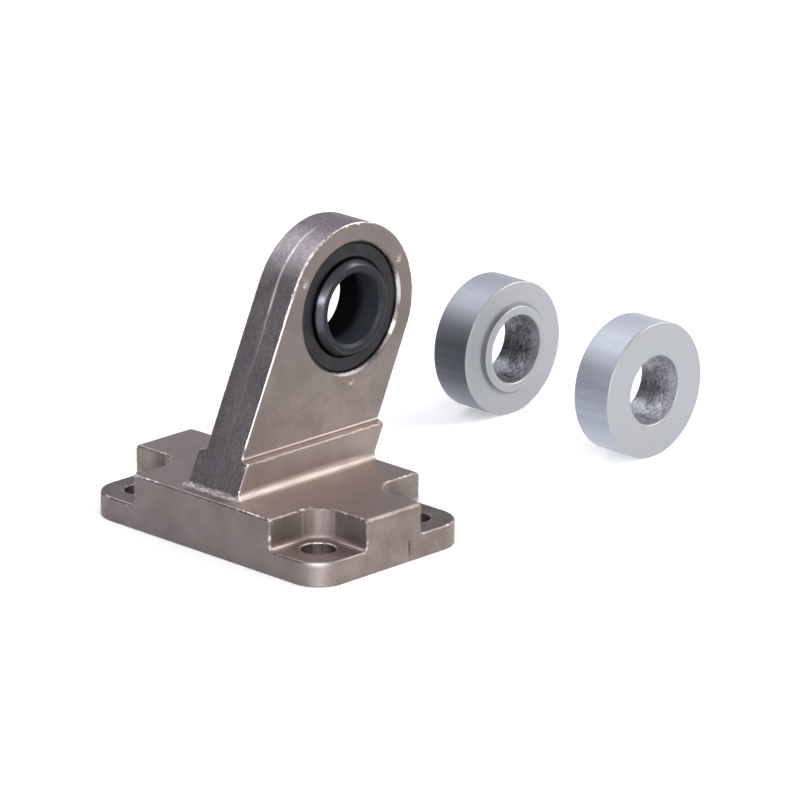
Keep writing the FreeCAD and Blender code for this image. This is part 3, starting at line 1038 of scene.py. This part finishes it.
def place_camera():
    heading, rise = camera_heading, camera_elevation
    look = Vector((-math.sin(heading) * math.cos(rise), math.cos(heading) * math.cos(rise), -math.sin(rise)))
    level = Vector((math.cos(heading), math.sin(heading), 0))
    above = level.cross(look)
    right = level * math.cos(camera_roll) + above * math.sin(camera_roll)
    up = above * math.cos(camera_roll) - level * math.sin(camera_roll)
    data = bpy.data.cameras.new("camera")
    data.sensor_width = sensor_mm
    data.lens = sensor_mm * pixels_per_mm * camera_distance / image_pixels
    data.clip_start = 0.05
    data.clip_end = 20
    camera = bpy.data.objects.new("camera", data)
    bpy.context.scene.collection.objects.link(camera)
    spot = (right * camera_aim_right + up * camera_aim_up - look * camera_distance) * MM
    camera.matrix_world = Matrix.Translation(spot) @ Matrix((right, up, -look)).transposed().to_4x4()
    bpy.context.scene.camera = camera


def soft_box(name, towards, distance, width, height, watts, tint):
    """A square lamp that faces the arm from one direction."""
    data = bpy.data.lights.new(name, "AREA")
    data.shape = "RECTANGLE"
    data.size = width
    data.size_y = height
    data.energy = watts
    data.color = tint
    lamp = bpy.data.objects.new(name, data)
    direction = Vector(towards).normalized()
    lamp.location = lamp_aim + direction * distance
    lamp.rotation_mode = "QUATERNION"
    lamp.rotation_quaternion = direction.to_track_quat("Z", "Y")
    bpy.context.scene.collection.objects.link(lamp)


def seen_directly(tree):
    """1 for what the camera sees, also in metal or through glass."""
    path = add(tree, "ShaderNodeLightPath")
    either = maths(tree, "MAXIMUM", path.outputs["Is Camera Ray"], path.outputs["Is Glossy Ray"])
    return maths(tree, "MAXIMUM", either, path.outputs["Is Transmission Ray"])


def white_sheet():
    bm = bmesh.new()
    bmesh.ops.create_circle(bm, cap_ends=True, segments=96, radius=floor_radius)
    mesh = bpy.data.meshes.new("floor")
    bm.to_mesh(mesh)
    bm.free()
    mesh.transform(Matrix.Translation((0, 0, -0.02 * MM)))
    floor = bpy.data.objects.new("floor", mesh)
    bpy.context.scene.collection.objects.link(floor)
    material, tree, shader, _ = new_material("white_sheet")
    fill(tree, shader, {
        "Base Color": (0.82, 0.82, 0.83, 1),
        "Roughness": 0.9,
        "Specular IOR Level": 0.1,
        "Emission Color": (1, 1, 1, 1),
        "Emission Strength": times(tree, seen_directly(tree), floor_glow),
    })
    mesh.materials.append(material)


def studio_world():
    """A grey room, a little bluer to the back, with one dark side."""
    world = bpy.data.worlds.new("studio")
    bpy.context.scene.world = world
    world.use_nodes = True
    tree = world.node_tree
    tree.nodes.clear()
    towards = add(tree, "ShaderNodeTexCoord").outputs["Generated"]
    dark_way = Vector((-0.74, 0.62, 0.26)).normalized()
    facing = vector(tree, "DOT_PRODUCT", towards, dark_way, "Value")
    ahead = part_of(tree, towards, "Y")
    room = blend(tree, smooth_step(tree, ahead, -0.4, 0.5), (0.44, 0.43, 0.42, 1), (0.48, 0.49, 0.56, 1))
    room = blend(tree, smooth_step(tree, facing, 0.3, 0.92), room, (0.05, 0.05, 0.07, 1))
    light = add(tree, "ShaderNodeBackground", {"Color": room})
    add(tree, "ShaderNodeOutputWorld", {"Surface": light.outputs[0]})


warm, cool, neutral = (1.0, 0.98, 0.95), (0.95, 0.97, 1.0), (1.0, 1.0, 1.0)
place_camera()
white_sheet()
studio_world()
soft_box("right_soft_box", (0.69, -0.36, 0.63), 0.75, 0.56, 0.56, 4.0, warm)
soft_box("low_soft_box", (0.69, -0.66, 0.30), 1.0, 0.3, 0.2, 0.7, warm)
soft_box("top_soft_box", (-0.19, 0.62, 0.76), 1.0, 0.7, 0.6, 3.2, cool)
soft_box("camera_lamp", (-0.53, -0.73, 0.43), 1.2, 1.2, 1.05, 9.0, neutral)
soft_box("left_strip", (-0.89, -0.28, 0.35), 1.0, 0.24, 0.2, 2.6, cool)
bpy.context.scene.view_settings.view_transform = "Standard"
